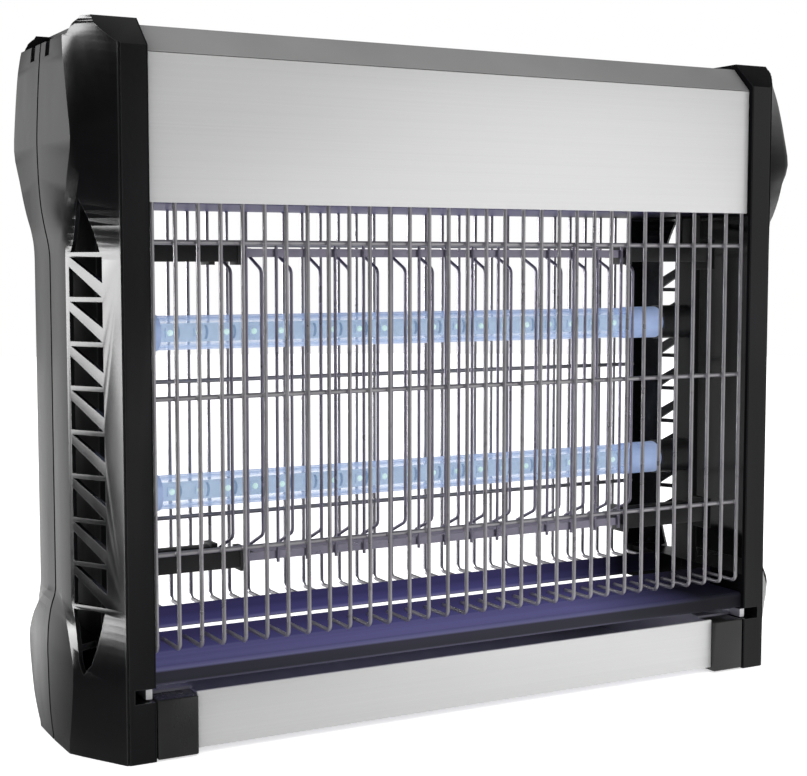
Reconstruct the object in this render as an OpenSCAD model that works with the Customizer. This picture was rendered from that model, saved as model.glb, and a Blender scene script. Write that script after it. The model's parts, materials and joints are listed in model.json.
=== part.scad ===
// Electric bug zapper: an upright two-tube cabinet with moulded end caps, wire
// guards front and rear, a high-voltage grid before the lamps and a drawer tray.
// X is the length, Y the depth (front at -Y), Z up, origin under the middle.

/* [Cabinet] */
// Height from the feet to the top of the end caps
cap_top_z = 265.2; // [264:0.2:270]
// Depth over the end caps, which stand a little proud of the metal faces
depth = 88; // [86:0.5:90]
// Half the distance between the end caps' inner faces
inner_x = 135.8; // [134:0.2:138]
// Underside of the top housing
housing_z = 200.2; // [199.5:0.1:201]
// Top edge of the aluminium fascias
fascia_top_z = 252.6; // [250:0.2:253]
// Flat top of the cover between the end caps
cover_top_z = 263; // [261:0.2:264]

/* [End caps] */
// Outer edge of the flat strip on the front of each end cap
strip_x = 146.4; // [145.6:0.2:147]
// Wall thickness of the end caps
cap_wall = 2; // [1.6:0.1:2.4]
// Distance between the horizontal ribs of the vents
rib_pitch = 15.85; // [15:0.05:16]
// Thickness of the horizontal ribs
rib_t = 1.7; // [1:0.1:2.4]

/* [Guards] */
// Number of upright wires in each guard
guard_wires = 32; // [24:1:32]
// Diameter of the guard wire
guard_d = 1.6; // [1.2:0.1:1.8]
// Spacing of the upright wires
guard_pitch = 8.64; // [8:0.02:8.64]
// How far the wires run inwards at the bottom
foot_run = 19; // [14:0.5:20]

/* [Kill grid] */
// Number of live wires, with one grounded wire between each two
live_count = 16; // [8:1:16]
// Spacing of the live wires
live_pitch = 12.57; // [10:0.01:12.6]
// Diameter of the grid wires
grid_d = 1.3; // [1:0.1:1.5]
// Distance of the live rail behind the grounded rail
rail_gap_y = 14; // [12:0.5:14]

/* [Lamps] */
// Height of the upper lamp's axis
upper_lamp_z = 152.3; // [148:0.1:156]
// Height of the lower lamp's axis
lower_lamp_z = 90.8; // [88:0.1:96]
// Diameter of the lamp caps
lamp_d = 14; // [12:0.5:15]
// Left end of the lamps
lamp_x0 = -136; // [-137:0.5:-135]
// Right end of the lamps
lamp_x1 = 118; // [116:0.5:120]

/* [Tray] */
// Height of the gap in which the tray's runners slide
runner_z = 22; // [21:0.5:23]
// Half the length of the tray's aluminium panels
tray_panel_x = 119.5; // [110:0.5:122]

/* [Hidden] */

$fn = 48;
front_y = -depth / 2;
face_y = front_y + 2;
eps = 0.01;
far = 400;

black = [0.07, 0.07, 0.08];
dark_grey = [0.25, 0.25, 0.26];
silver = [0.80, 0.80, 0.81];
steel = [0.62, 0.62, 0.64];
lilac = [0.66, 0.64, 0.76];
lamp_blue = [0.60, 0.75, 0.95];

// End cap sections, bottom to top. Each row is the height, then two corners measured
// outwards from the strip's edge and back from the front face, then the middle's reach.
cap_rows = [
    [0, 11.0, 18.5, 14.3, 24.6, 14.7],
    [6, 11.6, 17.0, 14.8, 22.0, 15.3],
    [14, 12.0, 15.0, 15.2, 18.5, 15.9],
    [34, 12.4, 11.5, 15.4, 14.5, 16.4],
    [42, 12.6, 15.0, 15.2, 18.5, 16.1],
    [50, 12.8, 19.5, 14.4, 26.0, 15.0],
    [58, 13.0, 23.5, 13.1, 36.0, 12.9],
    [180, 13.0, 23.5, 13.1, 38.0, 12.8],
    [185, 13.0, 22.8, 13.5, 31.0, 13.2],
    [192, 13.0, 18.5, 14.2, 23.0, 14.6],
    [200, 12.6, 12.0, 14.8, 17.5, 15.9],
    [210, 12.4, 7.4, 15.2, 12.2, 16.6],
    [222, 12.4, 4.8, 15.6, 6.4, 16.9],
    [234, 12.4, 6.8, 15.7, 9.0, 16.5],
    [248, 12.2, 10.2, 15.6, 13.0, 15.7],
    [257, 11.8, 12.8, 15.0, 16.2, 14.9],
    [262, 11.0, 14.4, 13.8, 18.2, 14.0],
    [cap_top_z, 9.0, 16.0, 11.8, 20.0, 12.2]
];
row_top = len(cap_rows) - 1;
facet_a = 13.0;
facet_b = 23.5;
vent_s0 = 9.2;
vent_s1 = 25.2;
vent_top_z = 182;
vent_bays = 8;
vent_tip_top_z = 201.6;
vent_tip_low_z = 32;
hollow_z0 = 42;
hollow_z1 = 199;
groove_h = 5;
groove_x = 143.6;
chamfer_back = 11.5;
chamfer_drop = 10.6;
step_z = 258.5;
step_y = 28.5;
step_x = 150;
joint_groove_w = 1.6;
joint_groove_t = 1.4;

// Smooth curves through the sections, with no overshoot
function rise(i, c) = (cap_rows[i + 1][c] - cap_rows[i][c]) / (cap_rows[i + 1][0] - cap_rows[i][0]);
function slope(i, c) =
    (i == 0 || i == row_top) ? 0
    : let (a = rise(i - 1, c), b = rise(i, c)) (a * b <= 0) ? 0 : 2 * a * b / (a + b);
function curve(i, t, c) =
    let (h = cap_rows[i + 1][0] - cap_rows[i][0])
    cap_rows[i][c] * (2 * t ^ 3 - 3 * t ^ 2 + 1) + slope(i, c) * h * (t ^ 3 - 2 * t ^ 2 + t)
    + cap_rows[i + 1][c] * (3 * t ^ 2 - 2 * t ^ 3) + slope(i + 1, c) * h * (t ^ 3 - t ^ 2);
function steps(i) = (cap_rows[i + 1][0] - cap_rows[i][0] > 50) ? 1 : 3;
smooth_rows = [
    for (i = [0 : row_top - 1])
        for (k = [0 : steps(i) - 1])
            let (t = k / steps(i))
            [
                cap_rows[i][0] + t * (cap_rows[i + 1][0] - cap_rows[i][0]),
                for (c = [1 : 5]) curve(i, t, c)
            ],
    cap_rows[row_top]
];

// The corner ring of one end cap section, inset by t, from the inner face round to the middle
function ring(row, t) = [
    [inner_x - (t > 0 ? 1 : 0), t > 0 ? 1 : 0, row[0]],
    [inner_x - (t > 0 ? 1 : 0), front_y + t, row[0]],
    [strip_x - t * 0.4, front_y + t, row[0]],
    [strip_x + row[1] - t * 0.9, front_y + row[2] + t * 0.5, row[0]],
    [strip_x + row[3] - t, front_y + row[4] + t * 0.3, row[0]],
    [strip_x + row[5] - t, t > 0 ? 1 : 0, row[0]]
];

// A solid lofted through the end cap's sections
module cap_loft(t) {
    n = 6;
    rows = len(smooth_rows);
    points = [for (row = smooth_rows) each ring(row, t)];
    sides = [
        for (r = [0 : rows - 2]) for (i = [0 : n - 1])
            let (j = (i + 1) % n)
            each [
                [r * n + i, (r + 1) * n + i, (r + 1) * n + j],
                [r * n + i, (r + 1) * n + j, r * n + j]
            ]
    ];
    bottom = [[for (i = [0 : n - 1]) i]];
    top = [[for (i = [n - 1 : -1 : 0]) (rows - 1) * n + i]];
    polyhedron(points = points, faces = concat(sides, bottom, top));
}

// A box from one corner to the opposite one
module block(low, high) {
    translate(low) cube(high - low);
}

// A round bar along X, Y or Z from a start point
module bar_x(x0, x1, y, z, d) {
    translate([x0, y, z]) rotate([0, 90, 0]) cylinder(d = d, h = x1 - x0);
}
module bar_y(x, y0, y1, z, d) {
    translate([x, y0, z]) rotate([-90, 0, 0]) cylinder(d = d, h = y1 - y0);
}
module bar_z(x, y, z0, z1, d) {
    translate([x, y, z0]) cylinder(d = d, h = z1 - z0);
}

// A bend in an upright wire, turning backwards: up = 1 above the wire, -1 below it
module bend(r, d, angle, up) {
    rotate([90 * up, 0, -90]) rotate_extrude(angle = angle) translate([r, 0]) circle(d = d);
}

// The triangular windows of the vents, drawn on the flat facet beside the strip
module vent_outline() {
    for (k = [0 : vent_bays - 1]) {
        z_t = vent_top_z - rib_pitch * k - rib_t / 2;
        z_b = z_t - rib_pitch + rib_t;
        polygon([[vent_s0, z_t], [vent_s1 - 0.3, z_t], [vent_s0, z_t - 9.2]]);
        polygon([[vent_s1, z_b], [vent_s1, z_t - 3.4], [vent_s0 + 0.3, z_b]]);
    }
    z_hi = vent_top_z + rib_t / 2;
    z_lo = vent_top_z - rib_pitch * vent_bays - rib_t / 2;
    polygon([[vent_s0 + 1, z_hi], [vent_s1 - 1, z_hi], [vent_s0 + 6, vent_tip_top_z]]);
    polygon([[vent_s0 + 1, z_lo], [vent_s1, z_lo], [vent_s0 + 7, vent_tip_low_z], [vent_s0 + 4, vent_tip_low_z + 4]]);
}

// The vent windows as prisms that cross the end cap's wall
module vent_cut() {
    reach_in = 5;
    reach_out = 12;
    angle = atan2(facet_b, facet_a);
    translate([strip_x, front_y, 0])
        rotate([0, 0, angle])
            rotate([90, 0, 0])
                translate([0, 0, -reach_in])
                    linear_extrude(height = reach_in + reach_out)
                        vent_outline();
}

// Slices off the top front edge of an end cap
module top_chamfer_cut() {
    translate([inner_x - 5, 0, 0])
        rotate([90, 0, 90])
            linear_extrude(height = 40)
                polygon([
                    [front_y - 1, cap_top_z - chamfer_drop - 1],
                    [front_y, cap_top_z - chamfer_drop],
                    [front_y + chamfer_back, cap_top_z],
                    [front_y + chamfer_back, cap_top_z + 1],
                    [front_y - 1, cap_top_z + 1]
                ]);
}

// Small blind recesses near the top of the end caps' sides
grip_z0 = 253;
grip_h = 8;

// Screws that hold the two halves of an end cap together
screw_x = 141;
screw_zs = [11, 238];
screw_d = 3;
screw_head_d = 6;
screw_head_h = 2.6;
screw_sink = 0.6;
screw_len = 50;
boss_d = 8;

// The front half of the right end cap; the other three halves are mirror images
module cap_half(rear = false) {
    difference() {
        union() {
            cap_shell();
            for (z = screw_zs)
                bar_y(screw_x, front_y + 1, 0, z, boss_d);
        }
        for (z = screw_zs)
            if (rear) {
                bar_y(screw_x, front_y - 1, 1, z, screw_d + 0.1);
                bar_y(screw_x, front_y - 1, front_y + screw_sink + screw_head_h, z, screw_head_d + 0.3);
            } else {
                bar_y(screw_x, -screw_len - front_y - 5, 1, z, screw_d + 0.02);
            }
    }
}

module cap_shell() {
    skin = 2.2;
    difference() {
        cap_loft(0);
        intersection() {
            cap_loft(cap_wall);
            union() {
                block([inner_x - 2, front_y - 1, hollow_z0], [far, 2, hollow_z1]);
                block([inner_x + skin, front_y - 1, hollow_z1 + skin], [far, 2, cap_top_z - chamfer_drop - 4]);
                block([inner_x + skin, front_y + chamfer_back + 1.5, hollow_z1 + skin], [far, 2, step_z - skin]);
                block([inner_x + skin, front_y - 1, 3], [far, 2, runner_z - 2]);
                block([groove_x + skin, front_y - 1, runner_z], [far, 2, hollow_z0 - skin]);
            }
        }
        vent_cut();
        top_chamfer_cut();
        block([inner_x - 1, front_y - 1, runner_z], [groove_x, 1, runner_z + groove_h]);
        difference() {
            block([strip_x + 8, -12.5, grip_z0], [strip_x + 25, -7, grip_z0 + grip_h]);
            cap_loft(1.2);
        }
        block([strip_x - 0.6, front_y - 1, -1], [strip_x + 0.2, front_y + 0.6, cap_top_z + 1]);
        difference() {
            block([inner_x + skin, -joint_groove_w / 2, -1], [far, 1, cap_top_z + 1]);
            cap_loft(joint_groove_t);
        }
        block([step_x, -step_y, step_z], [far, 1, cap_top_z + 1]);
    }
}

module end_cap_left_front() { color(black) mirror([1, 0, 0]) cap_half(); }
module end_cap_left_rear() { color(black) mirror([1, 0, 0]) mirror([0, 1, 0]) cap_half(true); }
module end_cap_right_front() { color(black) cap_half(); }
module end_cap_right_rear() { color(black) mirror([0, 1, 0]) cap_half(true); }

// Kill grid: a grounded rail in front and a live rail behind it, above and below the lamps
ground_y = -15;
live_y = ground_y + rail_gap_y;
rail_t = 1;
rail_h = 3.2;
upper_rail_z = 182.9;
lower_rail_z = 65.4;
rail_zs = [lower_rail_z, upper_rail_z];
front_arm_x = 89.5;
rear_arm_x = 96.5;
arm_depth = 6;
arm_h = 6.8;
rail_grip = 6;
front_arm_y = ground_y - 1.5;
rear_arm_y = live_y - 3;

// Upright plates inside the end caps that carry the lamp sockets and the insulator arms
plate_t = 2.5;
left_plate_half_y = 25;
right_plate_half_y = 7.5;
left_plate_x = lamp_x0 - 11;

module lamp_plate(half_y) {
    block([0, -half_y, hollow_z0], [plate_t, half_y, hollow_z1]);
    if (half_y < -front_arm_y)
        for (z = rail_zs)
            block([0, front_arm_y - 1, z - arm_h], [plate_t, -half_y + eps, z + arm_h]);
}

module lamp_plate_left() { color(black) translate([left_plate_x - plate_t, 0, 0]) lamp_plate(left_plate_half_y); }
module lamp_plate_right() { color(black) translate([inner_x, 0, 0]) lamp_plate(right_plate_half_y); }

// Folded sheet cover over the top housing, chamfered front and rear
cover_t = 1.6;
cover_chamfer = 10.2;
fascia_t = 0.8;

module cover_profile(inset) {
    y0 = face_y + inset;
    z1 = cover_top_z - inset;
    c = cover_chamfer - inset * 0.4;
    polygon([
        [y0, fascia_top_z + (inset > 0 ? -1 : 0.2)],
        [y0, z1 - c],
        [y0 + c, z1],
        [-y0 - c, z1],
        [-y0, z1 - c],
        [-y0, fascia_top_z + (inset > 0 ? -1 : 0.2)]
    ]);
}

module along_x(half) {
    translate([-half, 0, 0]) rotate([90, 0, 90]) linear_extrude(height = 2 * half) children();
}

module top_cover() {
    lip_y = face_y + fascia_t + 0.1;
    color(dark_grey) {
        along_x(inner_x - 0.1) difference() {
            cover_profile(0);
            cover_profile(cover_t);
        }
        for (side = [-1, 1])
            along_x(inner_x - 0.1)
                polygon([
                    [side * lip_y, fascia_top_z - 6],
                    [side * lip_y, fascia_top_z + 1],
                    [side * (lip_y + 1), fascia_top_z + 1],
                    [side * (lip_y + 1), fascia_top_z - 6]
                ]);
    }
}

// Aluminium face sheets of the top housing
module fascia_sheet() {
    block([-inner_x + 0.3, face_y, housing_z + 0.1], [inner_x - 0.3, face_y + fascia_t, fascia_top_z]);
}

switch_x = -70;
switch_z = 228;
switch_w = 13;
switch_h = 19;
gland_x = -100;
gland_z = 228;
gland_hole_d = 10;

module front_fascia() { color(silver) fascia_sheet(); }
module rear_fascia() {
    color(silver) difference() {
        mirror([0, 1, 0]) fascia_sheet();
        block([switch_x - switch_w / 2, 30, switch_z - switch_h / 2], [switch_x + switch_w / 2, 60, switch_z + switch_h / 2]);
        bar_y(gland_x, 30, 60, gland_z, gland_hole_d);
    }
}

// Sheet floor of the top housing, with upturned edges
floor_half_y = 38.6;
floor_t = 1.2;
floor_flange_h = 12;

module housing_floor() {
    color(black) {
        block([-inner_x + 0.1, -floor_half_y, housing_z], [inner_x - 0.1, floor_half_y, housing_z + floor_t]);
        for (side = [-1, 1])
            block(
                [-inner_x + 0.1, side * (floor_half_y - floor_t / 2) - floor_t / 2, housing_z + floor_t - eps],
                [inner_x - 0.1, side * (floor_half_y - floor_t / 2) + floor_t / 2, housing_z + floor_flange_h]
            );
    }
}

// Pressed bottom beams: a low face, a shelf and an upturned lip that holds the guard's feet
beam_z0 = 27.3;
shelf_z = 33.9;
shelf_run = 21;
lip_z = 41.5;
sheet_t = 1;

module beam() {
    y0 = face_y;
    y1 = face_y + shelf_run;
    along_x(inner_x)
        polygon([
            [y0, beam_z0],
            [y0, shelf_z - 1],
            [y0 + 1, shelf_z],
            [y1, shelf_z],
            [y1, lip_z],
            [y1 + sheet_t, lip_z],
            [y1 + sheet_t, shelf_z - sheet_t],
            [y0 + sheet_t, shelf_z - sheet_t],
            [y0 + sheet_t, beam_z0]
        ]);
}

module front_beam() { color(black) beam(); }
module rear_beam() { color(black) mirror([0, 1, 0]) beam(); }

// Wire guards: upright wires with cross wires welded behind them
guard_y = face_y + fascia_t + 0.2 + guard_d / 2;
guard_top_z = 208;
guard_low_z = 39;
bend_r = 2.4;
cross_d = 1.8;
cross_zs = [186.4, 130.4, 74];
guard_x0 = -guard_pitch * (guard_wires - 1) / 2;

module guard_uprights() {
    for (i = [0 : guard_wires - 1])
        bar_z(guard_x0 + guard_pitch * i, guard_y, guard_low_z + bend_r, guard_top_z, guard_d);
    for (z = cross_zs)
        bar_x(-inner_x + 0.4, inner_x - 0.4, guard_y + guard_d / 2 + cross_d / 2 + eps, z, cross_d);
}

module guard_feet() {
    for (i = [0 : guard_wires - 1])
        translate([guard_x0 + guard_pitch * i, guard_y, guard_low_z + bend_r]) {
            translate([0, bend_r, 0]) bend(bend_r, guard_d, 90, -1);
            bar_y(0, bend_r, foot_run - 0.1, -bend_r, guard_d);
        }
}

module front_guard() { color(steel) guard_uprights(); }
module rear_guard() { color(steel) mirror([0, 1, 0]) guard_uprights(); }
module front_guard_feet() { color(steel) guard_feet(); }
module rear_guard_feet() { color(steel) mirror([0, 1, 0]) guard_feet(); }

// Black insulators that reach in from the end plates and hold the rail ends
module insulator_arm(x_in, x_out, y, z) {
    flange = 1.2;
    flange_t = 2.5;
    boss_x = 4.5;
    boss_y = 2.6;
    difference() {
        union() {
            block([x_in + flange_t, y, z - arm_h / 2], [x_out, y + arm_depth, z + arm_h / 2]);
            block(
                [x_in, y - flange, z - arm_h / 2 - flange],
                [x_in + flange_t + eps, y + arm_depth + flange, z + arm_h / 2 + flange]
            );
            block([x_in - boss_x, y + boss_y, z - arm_h / 4], [x_in + eps, y + arm_depth, z + arm_h / 4]);
        }
        children();
    }
}

module rail_pair(x_end, y, grow) {
    for (z = rail_zs)
        block(
            [-x_end - grow, y - grow, z - rail_h / 2 - grow],
            [x_end + grow, y + rail_t + grow, z + rail_h / 2 + grow]
        );
}

module ground_rail_pair(grow) { rail_pair(front_arm_x + rail_grip, ground_y, grow); }
module live_rail_pair(grow) { rail_pair(rear_arm_x + rail_grip, live_y, grow); }

module insulator_set(x_out) {
    rail_play = 0.05;
    for (z = rail_zs) {
        insulator_arm(front_arm_x, x_out, front_arm_y, z) ground_rail_pair(rail_play);
        insulator_arm(rear_arm_x, x_out, rear_arm_y, z) live_rail_pair(rail_play);
    }
}

module insulator_arms_left() { color(black) mirror([1, 0, 0]) insulator_set(-left_plate_x); }
module insulator_arms_right() { color(black) insulator_set(inner_x); }
module ground_rails() { color(lilac) ground_rail_pair(0); }
module live_rails() { color(lilac) live_rail_pair(0); }

// Grid wires. Grounded ones are straight; live ones bend back to the live rail at each end
wire_y = ground_y - grid_d / 2 - eps;
live_x0 = -live_pitch * (live_count - 1) / 2;
live_low_z = 75.8;
live_top_z = 174.4;
live_bend_r = 3;
live_bend_angle = 66;

module ground_wires() {
    overhang = 1.2;
    color(steel)
        for (i = [0 : live_count - 2])
            bar_z(
                live_x0 + live_pitch * (i + 0.5), wire_y,
                lower_rail_z - rail_h / 2 - overhang, upper_rail_z + rail_h / 2 + overhang, grid_d
            );
}

module live_wires() {
    color(steel)
        for (i = [0 : live_count - 1])
            bar_z(live_x0 + live_pitch * i, wire_y, live_low_z, live_top_z, grid_d);
}

module live_ends(z, up) {
    back = live_bend_r * (1 - cos(live_bend_angle));
    rise = live_bend_r * sin(live_bend_angle);
    run = (live_y - 0.7 - wire_y - back) / sin(live_bend_angle);
    for (i = [0 : live_count - 1])
        translate([live_x0 + live_pitch * i, wire_y, z]) {
            translate([0, live_bend_r, 0]) bend(live_bend_r, grid_d, live_bend_angle, up);
            translate([0, back, rise * up])
                rotate([-live_bend_angle * up, 0, 0])
                    mirror([0, 0, up > 0 ? 0 : 1])
                        cylinder(d = grid_d, h = run);
        }
}

module live_wire_tops() { color(steel) live_ends(live_top_z, 1); }
module live_wire_bottoms() { color(steel) live_ends(live_low_z, -1); }

// Insulated leads that drop from the housing to the upper rails' right-hand arms
module hv_leads() {
    lead_x = 131;
    lead_d = 3;
    for (y = [front_arm_y, rear_arm_y])
        color(dark_grey)
            bar_z(lead_x, y + arm_depth / 2, upper_rail_z + arm_h / 2, housing_z, lead_d);
}

// Lamp sockets: round bodies with a ring-shaped recess that lets the pins turn
pin_circle_r = 4;
pin_d = 2;
pin_len = 6.5;

module socket(x0, x1, z, open_low) {
    mouth = open_low ? x0 : x1;
    depth_x = 7.4;
    ring_x0 = open_low ? mouth - eps : mouth - depth_x;
    ring_x1 = open_low ? mouth + depth_x : mouth + eps;
    difference() {
        bar_x(x0, x1, 0, z, lamp_d + 1);
        difference() {
            bar_x(ring_x0, ring_x1, 0, z, 2 * (pin_circle_r + pin_d / 2 + 0.5));
            bar_x(ring_x0 - 1, ring_x1 + 1, 0, z, 2 * (pin_circle_r - pin_d / 2 - 0.5));
        }
    }
}

module left_socket(z) { color(dark_grey) socket(left_plate_x, lamp_x0 - 0.4, z, false); }
module right_socket(z) { color(dark_grey) socket(lamp_x1 + 0.4, inner_x, z, true); }
module socket_upper_left() { left_socket(upper_lamp_z); }
module socket_upper_right() { right_socket(upper_lamp_z); }
module socket_lower_left() { left_socket(lower_lamp_z); }
module socket_lower_right() { right_socket(lower_lamp_z); }

// Lamps: a clear tube, a strip of light-emitting diodes, two caps and four pins
cap_len = 17;
cap_bore = 5;
cap_ring = 10.5;
tube_play = 0.1;
tube_wall = 0.8;

module lamp_tube(z) {
    x0 = lamp_x0 + cap_len - cap_bore;
    x1 = lamp_x1 - cap_len + cap_bore;
    outer = lamp_d - 0.8;
    color(lamp_blue, 0.5) difference() {
        bar_x(x0, x1, 0, z, outer);
        bar_x(x0 - 1, x1 + 1, 0, z, outer - 2 * tube_wall);
    }
}

module lamp_strip(z) {
    x0 = lamp_x0 + cap_len - cap_bore;
    x1 = lamp_x1 - cap_len + cap_bore;
    chip = 3.4;
    chip_pitch = 11.6;
    chips = floor((x1 - x0 - 12) / chip_pitch);
    color("white") {
        block([x0, 0, z - 3.6], [x1, 1, z + 3.6]);
        for (i = [0 : chips])
            translate([(x0 + x1) / 2 + (i - chips / 2) * chip_pitch - chip / 2, -1, z - chip / 2])
                cube([chip, 1 + eps, chip]);
    }
}

module pin_set(z, play) {
    for (side = [-1, 1]) {
        bar_x(lamp_x0 - pin_len, lamp_x0 + 4, 0, z + side * pin_circle_r, pin_d + play);
        bar_x(lamp_x1 - 4, lamp_x1 + pin_len, 0, z + side * pin_circle_r, pin_d + play);
    }
}

module lamp_caps(z) {
    bore = lamp_d - 0.8 + tube_play;
    color(lamp_blue) difference() {
        union() {
            bar_x(lamp_x0, lamp_x0 + cap_len, 0, z, lamp_d);
            bar_x(lamp_x1 - cap_len, lamp_x1, 0, z, lamp_d);
        }
        bar_x(lamp_x0 + cap_len - cap_bore, lamp_x0 + cap_len + 1, 0, z, bore);
        bar_x(lamp_x1 - cap_len - 1, lamp_x1 - cap_len + cap_bore, 0, z, bore);
        for (x = [lamp_x0 + cap_ring, lamp_x1 - cap_ring])
            difference() {
                bar_x(x - 0.4, x + 0.4, 0, z, lamp_d + 2);
                bar_x(x - 1, x + 1, 0, z, lamp_d - 0.8);
            }
        pin_set(z, 0.02);
    }
}

module upper_tube() { lamp_tube(upper_lamp_z); }
module upper_led_strip() { lamp_strip(upper_lamp_z); }
module upper_caps() { lamp_caps(upper_lamp_z); }
module upper_pins() { color(steel) pin_set(upper_lamp_z, 0); }
module lower_tube() { lamp_tube(lower_lamp_z); }
module lower_led_strip() { lamp_strip(lower_lamp_z); }
module lower_caps() { lamp_caps(lower_lamp_z); }
module lower_pins() { color(steel) pin_set(lower_lamp_z, 0); }

// Electronics on the housing floor
floor_top_z = housing_z + floor_t;
board_x0 = -20;
board_x1 = 110;
board_half_y = 26;
standoff_h = 7;
board_z = floor_top_z + standoff_h;
board_t = 1.6;
board_top_z = board_z + board_t;
board_hole_inset = 5;
board_hole_d = 3.2;

module at_board_corners() {
    for (x = [board_x0 + board_hole_inset, board_x1 - board_hole_inset])
        for (y = [-board_half_y + board_hole_inset, board_half_y - board_hole_inset])
            translate([x, y, 0]) children();
}

module driver_board() {
    color("darkgreen") difference() {
        block([board_x0, -board_half_y, board_z], [board_x1, board_half_y, board_top_z]);
        at_board_corners() translate([0, 0, board_z - 1]) cylinder(d = board_hole_d, h = board_t + 2);
    }
}

module board_standoffs() {
    color(dark_grey)
        at_board_corners()
            translate([0, 0, floor_top_z])
                difference() {
                    cylinder(d = 7, h = standoff_h);
                    translate([0, 0, 1]) cylinder(d = 2.5, h = standoff_h);
                }
}

module board_screws() {
    color(steel)
        at_board_corners()
            translate([0, 0, board_top_z]) {
                cylinder(d = 5.6, h = 2);
                translate([0, 0, -5]) cylinder(d = 2.48, h = 5 + eps);
            }
}

// Ferrite core round a wound bobbin
module transformer() {
    translate([75, 0, board_top_z]) {
        color(dark_grey) difference() {
            block([-16, -13, 0], [16, 13, 26]);
            block([-12, -14, 5], [12, 14, 21]);
        }
        color("orange") block([-11.8, -10, 5.2], [11.8, 10, 20.8]);
    }
}

module capacitors() {
    places = [[-6, -12], [10, -12], [26, -12], [-6, 12]];
    color("steelblue")
        for (place = places)
            translate([place[0], place[1], board_top_z]) {
                cylinder(d = 10, h = 16);
                translate([0, 0, 16 - eps]) cylinder(d = 8.6, h = 0.8);
            }
}

module terminal_block() {
    ways = 4;
    pitch = 5;
    color("seagreen") difference() {
        block([14, 14, board_top_z], [14 + ways * pitch, 22, board_top_z + 10]);
        for (i = [0 : ways - 1]) {
            x = 14 + pitch * (i + 0.5);
            bar_y(x, 18, 23, board_top_z + 3.5, 3);
            bar_z(x, 17, board_top_z + 7, board_top_z + 11, 3.4);
        }
    }
}

module fuse() {
    x0 = 38;
    z = board_top_z + 4;
    color("gainsboro") {
        bar_x(x0, x0 + 5, 16, z, 5.2);
        bar_x(x0 + 5 - eps, x0 + 15 + eps, 16, z, 4.6);
        bar_x(x0 + 15, x0 + 20, 16, z, 5.2);
        block([x0 + 0.5, 14.6, board_top_z], [x0 + 4.5, 17.4, z - 2]);
        block([x0 + 15.5, 14.6, board_top_z], [x0 + 19.5, 17.4, z - 2]);
    }
}

// Rocker switch in the rear fascia
switch_wall = 1.2;
rocker_half_w = 4.4;
rocker_y = 34.5;
rocker_tilt = 8;

module switch_housing() {
    back_y = -face_y;
    color(dark_grey) difference() {
        union() {
            block(
                [switch_x - switch_w / 2 + 0.1, 26, switch_z - switch_h / 2 + 0.1],
                [switch_x + switch_w / 2 - 0.1, back_y, switch_z + switch_h / 2 - 0.1]
            );
            block(
                [switch_x - switch_w / 2 - 1.5, 38, switch_z - switch_h / 2 - 1.5],
                [switch_x + switch_w / 2 + 1.5, back_y - fascia_t - 0.02, switch_z + switch_h / 2 + 1.5]
            );
        }
        block(
            [switch_x - rocker_half_w - 0.4, 28, switch_z - switch_h / 2 + switch_wall],
            [switch_x + rocker_half_w + 0.4, back_y + 1, switch_z + switch_h / 2 - switch_wall]
        );
        bar_x(switch_x - rocker_half_w - 1.3, switch_x + rocker_half_w + 1.3, rocker_y, switch_z, 2.1);
    }
}

module switch_rocker() {
    color("firebrick")
        translate([0, rocker_y, switch_z])
            rotate([-rocker_tilt, 0, 0]) {
                translate([switch_x - rocker_half_w, 0, 0])
                    rotate([90, 0, 90])
                        linear_extrude(height = 2 * rocker_half_w)
                            polygon([[-1.5, -5], [-1.5, 5], [1.5, 7], [4.6, 7], [3.6, 0], [4.6, -7], [1.5, -7]]);
                bar_x(switch_x - rocker_half_w - 1.1, switch_x + rocker_half_w + 1.1, 0, 0, 2);
            }
}

// Gland for the mains lead, clamped in the rear fascia
gland_bore_d = 6.6;

module cord_gland() {
    back_y = -face_y;
    color(black) difference() {
        union() {
            bar_y(gland_x, 34, back_y, gland_z, gland_hole_d - 0.1);
            bar_y(gland_x, 37.5, back_y - fascia_t - 0.02, gland_z, 15);
        }
        bar_y(gland_x, 33, back_y + 1, gland_z, gland_bore_d);
    }
}

module end_cap_screws() {
    color(steel)
        for (side = [-1, 1])
            for (z = screw_zs) {
                head_y = -front_y - screw_sink - screw_head_h;
                difference() {
                    bar_y(side * screw_x, head_y, head_y + screw_head_h, z, screw_head_d);
                    for (turn = [0, 90])
                        translate([side * screw_x, head_y + screw_head_h, z])
                            rotate([0, turn, 0])
                                cube([3.4, 2.4, 0.8], center = true);
                }
                bar_y(side * screw_x, head_y - screw_len, head_y + eps, z, screw_d);
            }
}

// Drawer tray: a folded pan with runners, two face panels and two moulded sides
tray_gap = 0.4;
pan_z = 2.5;
pan_t = 1;
panel_z0 = 2.1;
panel_z1 = 23.3;
panel_t = 1;
pan_end_y = -face_y - panel_t - 0.1;
runner_x = 138.6;
flange_end_y = 34;
flange_z = runner_z + tray_gap;

module tray_pan() {
    wall_top = 20;
    color("gainsboro") {
        difference() {
            block([-tray_panel_x + 0.1, -pan_end_y, pan_z], [tray_panel_x - 0.1, pan_end_y, flange_z]);
            block(
                [-tray_panel_x + 0.1 + pan_t, -pan_end_y + pan_t, pan_z + pan_t],
                [tray_panel_x - 0.1 - pan_t, pan_end_y - pan_t, flange_z + 1]
            );
            block([-tray_panel_x + 2, -pan_end_y - 1, wall_top], [tray_panel_x - 2, pan_end_y + 1, flange_z + 1]);
        }
        for (side = [0, 1])
            mirror([side, 0, 0]) {
                block(
                    [tray_panel_x - 0.1 - pan_t, -flange_end_y, flange_z - eps],
                    [runner_x, flange_end_y, flange_z + pan_t]
                );
                block([inner_x + 0.4, -pan_end_y, flange_z], [runner_x, pan_end_y, flange_z + 3.6]);
            }
    }
}

module tray_panel() {
    block([-tray_panel_x, face_y, panel_z0], [tray_panel_x, face_y + panel_t, panel_z1]);
}

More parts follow.
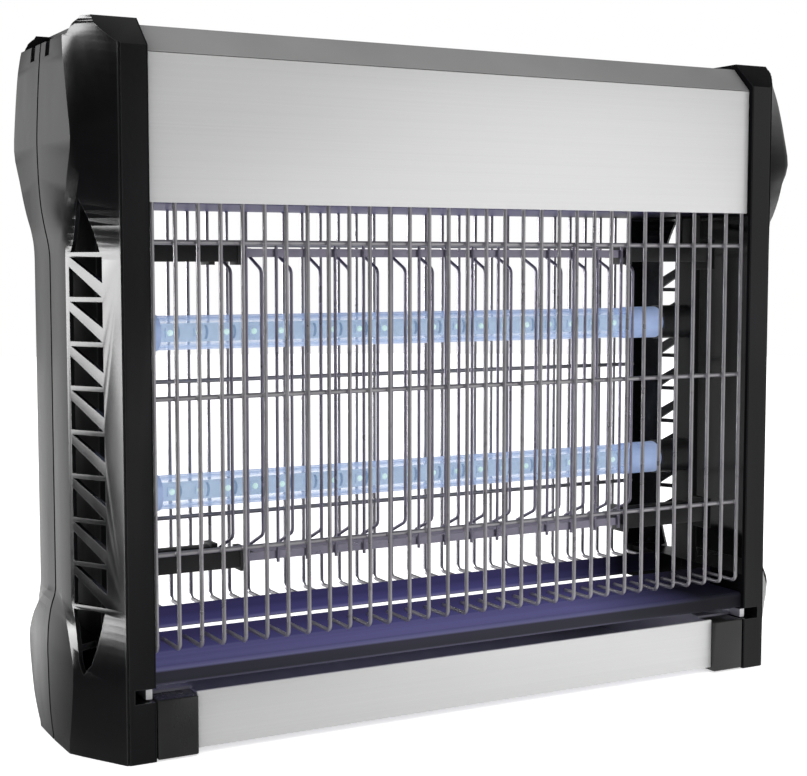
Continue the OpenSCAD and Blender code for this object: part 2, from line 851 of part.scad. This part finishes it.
module tray_side() {
    x0 = tray_panel_x + 0.1;
    x1 = inner_x - 0.5;
    wall = 2;
    difference() {
        block([x0, front_y, tray_gap], [x1, -front_y, runner_z + tray_gap - 0.02]);
        block([x0 + wall, front_y + wall, tray_gap - 1], [x1 - wall, -front_y - wall, runner_z - wall]);
    }
}

module tray_front_panel() { color(silver) tray_panel(); }
module tray_rear_panel() { color(silver) mirror([0, 1, 0]) tray_panel(); }
module tray_side_left() { color(dark_grey) mirror([1, 0, 0]) tray_side(); }
module tray_side_right() { color(dark_grey) tray_side(); }

end_cap_left_front();
end_cap_left_rear();
end_cap_right_front();
end_cap_right_rear();
lamp_plate_left();
lamp_plate_right();
top_cover();
front_fascia();
rear_fascia();
housing_floor();
front_beam();
rear_beam();
front_guard();
rear_guard();
front_guard_feet();
rear_guard_feet();
insulator_arms_left();
insulator_arms_right();
ground_rails();
live_rails();
ground_wires();
live_wires();
live_wire_tops();
live_wire_bottoms();
hv_leads();
socket_upper_left();
socket_upper_right();
socket_lower_left();
socket_lower_right();
driver_board();
transformer();
capacitors();
terminal_block();
fuse();
board_standoffs();
board_screws();
end_cap_screws();
switch_housing();
switch_rocker();
cord_gland();
tray_pan();
tray_front_panel();
tray_rear_panel();
tray_side_left();
tray_side_right();
upper_tube();
upper_led_strip();
upper_caps();
upper_pins();
lower_tube();
lower_led_strip();
lower_caps();
lower_pins();
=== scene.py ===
import json
import math

import bmesh
import bpy
from mathutils import Matrix, Vector


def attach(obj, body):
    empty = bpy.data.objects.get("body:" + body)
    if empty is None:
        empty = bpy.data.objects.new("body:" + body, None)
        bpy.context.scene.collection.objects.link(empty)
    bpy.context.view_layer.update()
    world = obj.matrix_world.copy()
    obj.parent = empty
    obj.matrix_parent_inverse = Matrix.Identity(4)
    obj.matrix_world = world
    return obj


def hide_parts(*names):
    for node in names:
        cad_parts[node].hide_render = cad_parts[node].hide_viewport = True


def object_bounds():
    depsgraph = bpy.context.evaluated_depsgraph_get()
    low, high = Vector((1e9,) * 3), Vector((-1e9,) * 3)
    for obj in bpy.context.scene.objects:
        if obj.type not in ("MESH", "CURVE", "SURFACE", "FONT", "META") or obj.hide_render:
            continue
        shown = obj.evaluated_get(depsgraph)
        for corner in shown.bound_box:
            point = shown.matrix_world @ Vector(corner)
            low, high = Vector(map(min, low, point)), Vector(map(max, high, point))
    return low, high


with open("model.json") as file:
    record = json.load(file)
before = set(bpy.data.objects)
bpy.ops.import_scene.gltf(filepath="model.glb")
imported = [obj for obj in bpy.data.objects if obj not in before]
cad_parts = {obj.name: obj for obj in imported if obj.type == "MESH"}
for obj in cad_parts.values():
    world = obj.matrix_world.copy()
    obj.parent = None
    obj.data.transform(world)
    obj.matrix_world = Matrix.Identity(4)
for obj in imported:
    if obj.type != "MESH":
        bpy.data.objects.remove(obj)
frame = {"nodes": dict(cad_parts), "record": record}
CAD_BOX = [list(v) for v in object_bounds()]
NODES = frame["nodes"]
MM = 0.001

# bevel widths
FINE_EDGE = 0.3 * MM
CAP_EDGE = 0.5 * MM
TRAY_SIDE_EDGE = 0.7 * MM

# The beams' painted lamp light runs between two heights. Nearer the middle than the other two
# places the cap plastic hardly reflects and the tray's sheet has painted shade.
BEAM_PAINTED_LIGHT_LOW_Z = 25.5 * MM
BEAM_PAINTED_LIGHT_HIGH_Z = 38.5 * MM
CAP_MATTE_X = 136.2 * MM
TRAY_SHADE_Y = 40.95 * MM

# the guards' wires, and the welds where they cross
GUARD_WIRES = 32
GUARD_PITCH = 8.64 * MM
CROSS_WIRE_HEIGHTS = (186.4 * MM, 130.4 * MM, 74.0 * MM)
WELD_Y = 39.4 * MM
WELD_RADII = (1.35 * MM, 0.8 * MM, 1.2 * MM)

# the diodes of a lamp, and the length of its tube that has none
CHIP_PITCH = 11.6 * MM
STRIP_MARGIN = 12 * MM

# ---------------------------------------------------------------- camera

cam_data = bpy.data.cameras.new("view")
cam_data.sensor_width = 36.0
cam_data.lens = 69.15
cam_data.clip_start = 0.01
cam_data.clip_end = 60.0
camera = bpy.data.objects.new("view", cam_data)
bpy.context.scene.collection.objects.link(camera)
yaw, pitch = math.radians(28.40), math.radians(4.647)
forward = Vector((math.sin(yaw) * math.cos(pitch), math.cos(yaw) * math.cos(pitch), -math.sin(pitch)))
camera.location = (-0.3171, -0.5657, 0.1794)
camera.rotation_euler = forward.to_track_quat("-Z", "Y").to_euler()
bpy.context.scene.camera = camera
bpy.context.scene.view_settings.view_transform = "Standard"

# ---------------------------------------------------------------- materials


class Nodes:
    """A short way to build a material's node tree."""

    def __init__(self, name):
        self.mat = bpy.data.materials.new(name)
        self.mat.use_nodes = True
        self.tree = self.mat.node_tree
        self.shader = self.tree.nodes["Principled BSDF"]
        self.coords = self.add("ShaderNodeTexCoord").outputs["Object"]

    def add(self, kind, **values):
        node = self.tree.nodes.new(kind)
        for key, value in values.items():
            if key in node.inputs:
                node.inputs[key].default_value = value
            else:
                setattr(node, key, value)
        return node

    def link(self, a, b):
        self.tree.links.new(a, b)

    def axis(self, letter):
        """The object coordinate along one axis."""
        parts = self.add("ShaderNodeSeparateXYZ")
        self.link(self.coords, parts.inputs[0])
        return parts.outputs[letter]

    def scaled(self, scale):
        node = self.add("ShaderNodeMapping")
        node.inputs["Scale"].default_value = scale
        self.link(self.coords, node.inputs["Vector"])
        return node.outputs["Vector"]

    def noise(self, scale, detail=3.0, stretch=None, roughness=0.5):
        node = self.add("ShaderNodeTexNoise")
        node.inputs["Scale"].default_value = scale
        node.inputs["Detail"].default_value = detail
        node.inputs["Roughness"].default_value = roughness
        self.link(self.scaled(stretch) if stretch else self.coords, node.inputs["Vector"])
        return node.outputs["Fac"]

    def span(self, value, lo, hi, out_lo=0.0, out_hi=1.0):
        node = self.add("ShaderNodeMapRange")
        for key, number in (("From Min", lo), ("From Max", hi), ("To Min", out_lo), ("To Max", out_hi)):
            node.inputs[key].default_value = number
        self.link(value, node.inputs["Value"])
        return node.outputs["Result"]

    def math(self, operation, a, b):
        node = self.add("ShaderNodeMath", operation=operation)
        for socket, value in zip(node.inputs, (a, b)):
            if isinstance(value, (int, float)):
                socket.default_value = value
            else:
                self.link(value, socket)
        return node.outputs[0]

    def mix(self, factor, a, b):
        node = self.add("ShaderNodeMix", data_type="RGBA")
        self.link(factor, node.inputs["Factor"])
        for socket, value in ((node.inputs[6], a), (node.inputs[7], b)):
            if isinstance(value, (tuple, list)):
                socket.default_value = (*value, 1.0)
            else:
                self.link(value, socket)
        return node.outputs[2]

    def edges(self, radius, lo=0.80, hi=0.995):
        """1 on sharp edges, 0 on flat faces."""
        bevel = self.add("ShaderNodeBevel", samples=4)
        bevel.inputs["Radius"].default_value = radius
        geometry = self.add("ShaderNodeNewGeometry")
        dot = self.add("ShaderNodeVectorMath", operation="DOT_PRODUCT")
        self.link(bevel.outputs["Normal"], dot.inputs[0])
        self.link(geometry.outputs["Normal"], dot.inputs[1])
        return self.span(dot.outputs["Value"], hi, lo)

    def bump(self, heights, distance=0.0002):
        """Adds several (height, strength) bumps on top of one another."""
        normal = None
        for height, strength in heights:
            node = self.add("ShaderNodeBump")
            node.inputs["Strength"].default_value = strength
            node.inputs["Distance"].default_value = distance
            self.link(height, node.inputs["Height"])
            if normal:
                self.link(normal, node.inputs["Normal"])
            normal = node.outputs["Normal"]
        self.link(normal, self.shader.inputs["Normal"])

    def set(self, **values):
        names = {
            "base": "Base Color", "metal": "Metallic", "rough": "Roughness", "alpha": "Alpha",
            "glow": "Emission Color", "glow_strength": "Emission Strength",
            "spec": "Specular IOR Level",
        }
        for key, value in values.items():
            socket = self.shader.inputs[names[key]]
            if isinstance(value, bpy.types.NodeSocket):
                self.link(value, socket)
            elif isinstance(value, (tuple, list)):
                socket.default_value = (*value, 1.0)
            else:
                socket.default_value = value


def plastic(name, dark, light, rough, grain_strength=0.12, worn=0.05, spec=0.5, matte_within=0.0):
    """Moulded plastic; faces nearer the middle than matte_within hardly reflect."""
    n = Nodes(name)
    cloud = n.noise(22.0, 4.0)
    fine = n.noise(900.0, 2.0)
    edge = n.edges(0.0007)
    base = n.mix(n.span(cloud, 0.35, 0.68), dark, light)
    base = n.mix(n.math("MULTIPLY", edge, 0.8), base, tuple(c + worn for c in light))
    smear = n.noise(70.0, 5.0, (1.0, 1.0, 0.35), 0.6)
    smeared = n.span(smear, 0.3, 0.7, rough - 0.05, rough + 0.06)
    rough_value = n.math("ADD", smeared, n.math("MULTIPLY", edge, 0.08))
    if matte_within:
        away = n.math("ABSOLUTE", n.axis("X"), 0.0)
        spec = n.span(away, matte_within, matte_within + 0.0003, 0.02, spec)
    n.set(base=base, rough=rough_value, spec=spec)
    n.bump([(fine, grain_strength), (n.noise(45.0, 2.0), 0.05)])
    return n.mat


def brushed(name, dark, light, rough, shade_within=0.0):
    """Satin metal with fine lines along X; what is nearer the middle than shade_within is in violet shade."""
    n = Nodes(name)
    streak = n.noise(1.0, 3.0, (6.0, 700.0, 1400.0), 0.7)
    cloud = n.noise(9.0, 3.0)
    edge = n.edges(0.0006)
    shade = n.math("ADD", n.math("MULTIPLY", streak, 0.7), n.math("MULTIPLY", cloud, 0.3))
    base = n.mix(n.span(shade, 0.2, 0.8), dark, light)
    base = n.mix(n.math("MULTIPLY", edge, 0.7), base, tuple(c + 0.06 for c in light))
    if shade_within:
        away = n.math("ABSOLUTE", n.axis("Y"), 0.0)
        # painted shade: nearer the middle than shade_within the sheet turns violet grey
        base = n.mix(n.span(away, shade_within - 0.0002, shade_within), (0.27, 0.265, 0.32), base)
    n.set(base=base, metal=0.55, rough=n.span(streak, 0.2, 0.8, rough - 0.04, rough + 0.05))
    n.bump([(streak, 0.10)], 0.00003)
    return n.mat


def wire(name, dark, light, rough):
    """Plated metal with a few dark spots."""
    n = Nodes(name)
    cloud = n.noise(60.0, 4.0)
    fine = n.noise(700.0, 2.0)
    base = n.mix(n.span(cloud, 0.3, 0.7), dark, light)
    spots = n.span(n.noise(230.0, 3.0), 0.62, 0.72)
    base = n.mix(n.math("MULTIPLY", spots, 0.35), base, tuple(c * 0.45 for c in dark))
    n.set(base=base, metal=0.7, rough=n.span(cloud, 0.3, 0.7, rough - 0.06, rough + 0.1))
    n.bump([(fine, 0.15)], 0.00005)
    return n.mat


def painted(name, dark, light, rough):
    """Matt paint with a slight orange peel."""
    n = Nodes(name)
    peel = n.noise(420.0, 2.0)
    cloud = n.noise(14.0, 4.0)
    edge = n.edges(0.0006)
    base = n.mix(n.span(cloud, 0.35, 0.65), dark, light)
    base = n.mix(n.math("MULTIPLY", edge, 0.6), base, tuple(c + 0.06 for c in light))
    n.set(base=base, rough=n.span(cloud, 0.3, 0.7, rough - 0.04, rough + 0.05), spec=0.12)
    n.bump([(peel, 0.12)], 0.0001)
    return n.mat


def glowing_sheet(name):
    """Black paint with the lamps' light painted in.

    It is violet on the shelves, greyer on the faces and dark at the right.
    """
    n = Nodes(name)
    peel = n.noise(420.0, 2.0)
    cloud = n.noise(10.0, 3.0)
    # the painted lamp light fades out to the right and a little to the left
    to_the_right = n.span(n.axis("X"), 0.055, 0.115, 1.0, 0.03)
    from_the_left = n.span(n.axis("X"), -0.135, -0.02, 0.72, 1.0)
    along = n.math("MULTIPLY", to_the_right, from_the_left)
    streak = n.span(n.noise(1.0, 3.0, (3.0, 260.0, 260.0)), 0.3, 0.7, 0.80, 1.12)
    bands = n.add("ShaderNodeValToRGB")
    ramp = bands.color_ramp
    ramp.interpolation = "LINEAR"
    # the colours of the painted lamp light, from the lower height up to the upper one
    stops = (
        (0.00, (0.14, 0.14, 0.24)), (0.03, (0.024, 0.023, 0.060)), (0.09, (0.024, 0.023, 0.058)),
        (0.12, (0.085, 0.085, 0.135)), (0.17, (0.075, 0.073, 0.110)), (0.21, (0.022, 0.022, 0.030)),
        (0.50, (0.028, 0.027, 0.040)), (0.56, (0.13, 0.128, 0.26)), (0.62, (0.11, 0.105, 0.24)),
        (0.68, (0.050, 0.048, 0.150)), (1.0, (0.032, 0.028, 0.095)),
    )
    while len(ramp.elements) < len(stops):
        ramp.elements.new(0.5)
    for element, (place, tint) in zip(ramp.elements, stops):
        element.position = place
        element.color = (*tint, 1.0)
    n.link(n.span(n.axis("Z"), BEAM_PAINTED_LIGHT_LOW_Z, BEAM_PAINTED_LIGHT_HIGH_Z), bands.inputs["Fac"])
    amount = n.math("MULTIPLY", along, streak)
    n.set(
        base=n.mix(n.span(cloud, 0.35, 0.65), (0.006, 0.006, 0.008), (0.010, 0.010, 0.013)),
        rough=n.span(cloud, 0.3, 0.7, 0.36, 0.46), spec=0.06,
        glow=n.mix(amount, (0.0, 0.0, 0.0), bands.outputs["Color"]), glow_strength=1.0,
    )
    n.bump([(peel, 0.1)], 0.0001)
    return n.mat


def lamp_glass(name):
    """Clear in the middle, blue and nearly solid at the rim."""
    n = Nodes(name)
    facing = n.add("ShaderNodeLayerWeight")
    facing.inputs["Blend"].default_value = 0.35
    rim = n.span(facing.outputs["Facing"], 0.1, 0.8)
    cloud = n.noise(35.0, 3.0)
    n.set(
        base=n.mix(n.span(cloud, 0.3, 0.7), (0.50, 0.62, 0.80), (0.60, 0.70, 0.86)),
        rough=n.span(cloud, 0.3, 0.7, 0.08, 0.2),
        alpha=n.span(rim, 0.0, 1.0, 0.06, 0.90),
        glow=n.mix(rim, (0.42, 0.56, 0.80), (0.20, 0.34, 0.76)), glow_strength=0.32,
    )
    n.bump([(n.noise(500.0, 2.0), 0.05)], 0.00005)
    return n.mat


def glow(name, dark, light, strength, rough=0.35):
    """A surface giving off a little of its own colour: the diodes' light, elsewhere painted lamp light."""
    n = Nodes(name)
    cloud = n.noise(120.0, 3.0)
    base = n.mix(n.span(cloud, 0.3, 0.7), dark, light)
    rough_value = n.span(cloud, 0.3, 0.7, rough - 0.08, rough + 0.1)
    n.set(base=base, rough=rough_value, glow=base, glow_strength=strength)
    n.bump([(n.noise(800.0, 2.0), 0.08)], 0.00005)
    return n.mat


def rubber(name, dark, light, rough):
    """Dull rubber or ferrite with a fine grain."""
    n = Nodes(name)
    cloud = n.noise(90.0, 4.0)
    n.set(
        base=n.mix(n.span(cloud, 0.3, 0.7), dark, light),
        rough=n.span(n.noise(260.0, 3.0), 0.3, 0.7, rough - 0.08, rough + 0.08),
    )
    n.bump([(n.noise(1400.0, 2.0), 0.25)], 0.00008)
    return n.mat


MATS = {
    "cap_plastic": plastic(
        "cap_plastic", (0.003, 0.003, 0.0034), (0.005, 0.005, 0.006), 0.20,
        grain_strength=0.04, worn=0.02, spec=0.26, matte_within=CAP_MATTE_X,
    ),
    "inner_plastic": plastic(
        "inner_plastic", (0.002, 0.002, 0.003), (0.004, 0.004, 0.005), 0.55, grain_strength=0.25, spec=0.15,
    ),
    "cover_paint": painted("cover_paint", (0.19, 0.19, 0.19), (0.23, 0.23, 0.23), 0.5),
    "fascia_metal": brushed("fascia_metal", (0.70, 0.70, 0.70), (0.77, 0.77, 0.77), 0.42),
    "black_sheet": glowing_sheet("black_sheet"),
    "guard_wire": wire("guard_wire", (0.29, 0.28, 0.30), (0.41, 0.40, 0.42), 0.32),
    "insulator": plastic("insulator", (0.010, 0.010, 0.011), (0.020, 0.020, 0.022), 0.38, grain_strength=0.2),
    # the grid metal's violet cast is painted light from the lamps
    "grid_metal": wire("grid_metal", (0.22, 0.205, 0.27), (0.34, 0.32, 0.40), 0.30),
    "lead_sleeve": rubber("lead_sleeve", (0.012, 0.012, 0.012), (0.03, 0.03, 0.03), 0.6),
    "board": plastic("board", (0.02, 0.12, 0.05), (0.04, 0.18, 0.08), 0.35),
    "ferrite": rubber("ferrite", (0.03, 0.03, 0.032), (0.07, 0.07, 0.07), 0.7),
    "capacitor_sleeve": plastic("capacitor_sleeve", (0.02, 0.04, 0.16), (0.03, 0.06, 0.22), 0.3),
    "terminal_plastic": plastic("terminal_plastic", (0.03, 0.2, 0.08), (0.05, 0.28, 0.12), 0.4),
    "fuse_metal": wire("fuse_metal", (0.6, 0.5, 0.3), (0.8, 0.7, 0.45), 0.3),
    "screw_steel": wire("screw_steel", (0.35, 0.35, 0.36), (0.55, 0.55, 0.57), 0.3),
    "rocker_plastic": plastic("rocker_plastic", (0.30, 0.01, 0.01), (0.40, 0.015, 0.015), 0.25),
    "gland_rubber": rubber("gland_rubber", (0.010, 0.010, 0.010), (0.022, 0.022, 0.022), 0.55),
    "tray_sheet": brushed("tray_sheet", (0.80, 0.80, 0.80), (0.87, 0.87, 0.87), 0.40, TRAY_SHADE_Y),
    "tray_plastic": plastic(
        "tray_plastic", (0.010, 0.010, 0.010), (0.018, 0.018, 0.018), 0.30, grain_strength=0.08, worn=0.08,
    ),
    "lamp_glass": lamp_glass("lamp_glass"),
    # the lamp's board and caps glow with painted lamp light
    "led_board": glow("led_board", (0.38, 0.49, 0.62), (0.45, 0.56, 0.68), 0.28),
    "lamp_cap": glow("lamp_cap", (0.27, 0.36, 0.58), (0.33, 0.42, 0.64), 0.34),
    "pin_brass": wire("pin_brass", (0.6, 0.48, 0.25), (0.8, 0.66, 0.38), 0.25),
}
LED_BRIGHT = glow("led_bright", (0.56, 0.80, 0.70), (0.74, 0.92, 0.84), 0.40, 0.2)
# the strip marks glow with painted lamp light
LED_MARK = glow("led_mark", (0.16, 0.27, 0.42), (0.22, 0.34, 0.50), 0.15)

SLOT_OF = {entry["node"]: entry["material_slot"] for entry in frame["record"]["subparts"]}
for node_name, obj in NODES.items():
    obj.data.materials.clear()
    obj.data.materials.append(MATS[SLOT_OF[node_name]])

# ---------------------------------------------------------------- piece helpers


def piece_from(bm, name, body, material, smooth):
    """A finished piece on one body; edges sharper than smooth degrees stay sharp."""
    mesh = bpy.data.meshes.new(name)
    bm.to_mesh(mesh)
    bm.free()
    obj = bpy.data.objects.new(name, mesh)
    bpy.context.scene.collection.objects.link(obj)
    mesh.materials.append(material)
    mesh.polygons.foreach_set("use_smooth", [True] * len(mesh.polygons))
    mesh.set_sharp_from_angle(angle=math.radians(smooth))
    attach(obj, body)
    return obj


def bevelled_copy(node_name, width, segments=2, limit=28.0, body="cabinet", smooth=32.0):
    """The CAD node's own shape with its edges rounded, standing in for the node."""
    bm = bmesh.new()
    bm.from_mesh(NODES[node_name].data)
    bmesh.ops.remove_doubles(bm, verts=bm.verts, dist=2e-6)
    bmesh.ops.dissolve_limit(bm, angle_limit=math.radians(1.0), verts=bm.verts, edges=bm.edges)
    sharp = [e for e in bm.edges if len(e.link_faces) == 2 and e.calc_face_angle(0.0) > math.radians(limit)]
    bmesh.ops.bevel(
        bm, geom=sharp, offset=width, offset_type="OFFSET", segments=segments,
        profile=0.5, affect="EDGES", clamp_overlap=True,
    )
    bmesh.ops.triangulate(bm, faces=[f for f in bm.faces if len(f.verts) > 4])
    slot = SLOT_OF[node_name]
    obj = piece_from(bm, node_name + "_shaped", body, MATS[slot], smooth)
    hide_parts(node_name)


def prism(bm, outline, y0, y1):
    """An upright outline in X and Z given a thickness along Y."""
    front = [bm.verts.new((x, y0, z)) for x, z in outline]
    back = [bm.verts.new((x, y1, z)) for x, z in outline]
    bm.faces.new(front)
    bm.faces.new(back[::-1])
    for k in range(len(outline)):
        m = (k + 1) % len(outline)
        bm.faces.new((front[k], back[k], back[m], front[m]))


def finish(bm):
    """The same mesh with its faces turned outwards."""
    bmesh.ops.recalc_face_normals(bm, faces=bm.faces)
    return bm


# ---------------------------------------------------------------- pieces

for cap in ("end_cap_left_front", "end_cap_left_rear", "end_cap_right_front", "end_cap_right_rear"):
    bevelled_copy(cap, CAP_EDGE, limit=22.0, smooth=18.0)
for name in (
    "insulator_arms_left", "insulator_arms_right", "switch_housing", "front_beam", "rear_beam", "top_cover",
):
    bevelled_copy(name, FINE_EDGE)
for name in ("tray_side_left", "tray_side_right"):
    bevelled_copy(name, TRAY_SIDE_EDGE, 3, body="tray")
for name in ("tray_front_panel", "tray_rear_panel"):
    bevelled_copy(name, FINE_EDGE, body="tray")
bevelled_copy("switch_rocker", FINE_EDGE, body="rocker")
for name in ("front_fascia", "rear_fascia"):
    bevelled_copy(name, FINE_EDGE)


def box_of(node_name):
    obj = NODES[node_name]
    points = [obj.matrix_world @ Vector(c) for c in obj.bound_box]
    return [min(p[a] for p in points) for a in range(3)], [max(p[a] for p in points) for a in range(3)]


def dome(bm, x, z):
    """A diode's dome, whose top points to the front."""
    sides = 16
    rows = []
    for a in (0.0, 0.5, 1.0):
        r = 1.25 * math.cos(a) * MM
        y = (-0.95 - 0.6 * math.sin(a)) * MM
        turns = [k * 2 * math.pi / sides for k in range(sides)]
        rows.append([bm.verts.new((x + r * math.cos(t), y, z + r * math.sin(t))) for t in turns])
    tip = bm.verts.new((x, -1.6 * MM, z))
    for a, b in zip(rows, rows[1:]):
        for k in range(sides):
            bm.faces.new((a[k], b[k], b[(k + 1) % sides], a[(k + 1) % sides]))
    for k in range(sides):
        bm.faces.new((rows[-1][k], tip, rows[-1][(k + 1) % sides]))
    bm.faces.new(rows[0])


def arc_mark(bm, x, z):
    """A thin curved bar on the strip, 1 mm wide."""
    arc = []
    for k in range(9):
        a = math.radians(-64 + 16 * k)
        arc.append((-2.6 + 1.3 * math.cos(a), 3.0 * math.sin(a)))
    outline = [(x + (u + 5.6) * MM, z + v * MM) for u, v in arc]
    outline += [(x + (u + 4.6) * MM, z + v * MM) for u, v in reversed(arc)]
    prism(bm, outline, -0.25 * MM, 0.05 * MM)


def lamp_details(side):
    """A domed diode and a curved mark beside it for each chip on one lamp's strip."""
    body = side + "_lamp"
    low, high = box_of(side + "_tube")
    z = (low[2] + high[2]) / 2
    count = int((high[0] - low[0] - STRIP_MARGIN) / CHIP_PITCH)
    middle = (low[0] + high[0]) / 2
    chips, marks = bmesh.new(), bmesh.new()
    for i in range(count + 1):
        x = middle + (i - count / 2) * CHIP_PITCH
        dome(chips, x, z)
        arc_mark(marks, x, z)
    piece_from(finish(chips), side + "_diodes", body, LED_BRIGHT, 40.0)
    piece_from(finish(marks), side + "_strip_marks", body, LED_MARK, 30.0)


lamp_details("upper")
lamp_details("lower")


def weld_beads(node_name, sign):
    """Small weld beads where the guard's uprights cross its three cross wires."""
    bm = bmesh.new()
    size = Matrix.Diagonal((*WELD_RADII, 1.0))
    for z in CROSS_WIRE_HEIGHTS:
        for i in range(GUARD_WIRES):
            x = (i - (GUARD_WIRES - 1) / 2) * GUARD_PITCH
            bead = bmesh.ops.create_icosphere(bm, subdivisions=1, radius=1.0)
            place = Matrix.Translation((x, sign * WELD_Y, z))
            bmesh.ops.transform(bm, verts=bead["verts"], matrix=place @ size)
    piece_from(bm, node_name + "_welds", "cabinet", MATS["guard_wire"], 60.0)


weld_beads("front_guard", -1)
weld_beads("rear_guard", 1)

# ---------------------------------------------------------------- lights, floor and surroundings

world = bpy.data.worlds.new("studio")
bpy.context.scene.world = world
world.use_nodes = True
wt = world.node_tree
background = wt.nodes["Background"]
coords = wt.nodes.new("ShaderNodeTexCoord")
split = wt.nodes.new("ShaderNodeSeparateXYZ")
wt.links.new(coords.outputs["Generated"], split.inputs[0])


def world_math(operation, a, b):
    node = wt.nodes.new("ShaderNodeMath")
    node.operation = operation
    for socket, value in zip(node.inputs, (a, b)):
        if isinstance(value, (int, float)):
            socket.default_value = value
        else:
            wt.links.new(value, socket)
    return node.outputs[0]


def world_range(value, lo, hi, out_lo, out_hi):
    node = wt.nodes.new("ShaderNodeMapRange")
    node.interpolation_type = "SMOOTHSTEP"
    for key, number in (("From Min", lo), ("From Max", hi), ("To Min", out_lo), ("To Max", out_hi)):
        node.inputs[key].default_value = number
    wt.links.new(value, node.inputs["Value"])
    return node.outputs["Result"]


# Plain white for the camera and for diffuse light. In reflections the surroundings are
# brightest low down behind the object, a little to the left, and dark in front.
behind = world_range(split.outputs["Y"], -0.45, 0.30, 0.05, 1.0)
low = world_range(split.outputs["Z"], 0.05, 0.45, 1.0, 0.22)
left_edge = world_range(split.outputs["X"], -0.76, -0.52, 0.10, 1.0)
right_edge = world_range(split.outputs["X"], -0.30, -0.08, 1.0, 0.35)
band = world_math("MULTIPLY", left_edge, right_edge)
around = world_math("MULTIPLY", world_math("MULTIPLY", behind, low), band)
rays = wt.nodes.new("ShaderNodeLightPath")
plain = world_math("MAXIMUM", rays.outputs["Is Camera Ray"], rays.outputs["Is Diffuse Ray"])
strength = world_math("MAXIMUM", plain, around)
wt.links.new(strength, background.inputs["Strength"])
background.inputs["Color"].default_value = (1.0, 1.0, 1.0, 1.0)


def softbox(name, place, aim, size, radiance):
    """A rectangular area light of a given radiance, aimed at a point."""
    light = bpy.data.lights.new(name, "AREA")
    light.shape = "RECTANGLE"
    light.size, light.size_y = size
    light.energy = radiance * math.pi * size[0] * size[1]
    obj = bpy.data.objects.new(name, light)
    obj.location = place
    obj.rotation_euler = (Vector(aim) - Vector(place)).to_track_quat("-Z", "Y").to_euler()
    bpy.context.scene.collection.objects.link(obj)
    return obj


# The left box is there for the reflections and lights no diffuse surface.
left_box = softbox("left_box", (-1.5, 0.42, 0.35), (-0.15, 0.0, 0.13), (1.05, 2.4), 24.0)
left_box.visible_diffuse = False
softbox("right_box", (1.6, -1.9, 0.45), (0.1, 0.0, 0.15), (2.0, 2.0), 0.90)
softbox("front_strip", (-0.35, -1.5, 0.85), (-0.1, 0.0, 0.2), (1.2, 0.18), 0.5)
softbox("top_box", (0.2, 0.5, 1.8), (0.0, 0.0, 0.1), (1.2, 1.0), 0.35)


def floor():
    """A white disc, finer towards the middle."""
    bm = bmesh.new()
    rings, spokes, radius = 12, 64, 2.4
    centre = bm.verts.new((0, 0, 0))
    turns = [2 * math.pi * s / spokes for s in range(spokes)]
    last = None
    for r in range(1, rings + 1):
        d = radius * (r / rings) ** 1.6
        ring = [bm.verts.new((d * math.cos(t), d * math.sin(t), 0)) for t in turns]
        for s in range(spokes):
            t = (s + 1) % spokes
            if last is None:
                bm.faces.new((centre, ring[s], ring[t]))
            else:
                bm.faces.new((last[s], ring[s], ring[t], last[t]))
        last = ring
    mesh = bpy.data.meshes.new("floor")
    bm.to_mesh(mesh)
    bm.free()
    obj = bpy.data.objects.new("floor", mesh)
    obj.location.z = CAD_BOX[0][2] - 0.0001
    bpy.context.scene.collection.objects.link(obj)
    n = Nodes("floor")
    n.set(
        base=n.mix(n.noise(3.0, 3.0), (0.90, 0.90, 0.90), (0.93, 0.93, 0.93)), rough=0.9, spec=0.1,
        glow=(1.0, 1.0, 1.0), glow_strength=0.55,
    )
    # Seen in glossy surfaces the floor is dark at the front left, so that the blacks stay black.
    x, y = n.axis("X"), n.axis("Y")
    back = n.span(y, -0.10, 0.20, 0.02, 1.1)
    lean = n.math("ADD", x, n.math("MULTIPLY", y, 0.55))
    back = n.math("MULTIPLY", back, n.span(lean, -0.24, -0.12, 0.08, 1.0))
    right = n.span(x, -0.28, 0.15, 0.02, 0.85)
    table = n.add("ShaderNodeEmission")
    n.link(n.math("MAXIMUM", back, right), table.inputs["Strength"])
    seen = n.add("ShaderNodeLightPath")
    blend = n.add("ShaderNodeMixShader")
    n.link(seen.outputs["Is Glossy Ray"], blend.inputs[0])
    n.link(n.shader.outputs[0], blend.inputs[1])
    n.link(table.outputs[0], blend.inputs[2])
    n.link(blend.outputs[0], n.tree.nodes["Material Output"].inputs["Surface"])
    mesh.materials.append(n.mat)


floor()
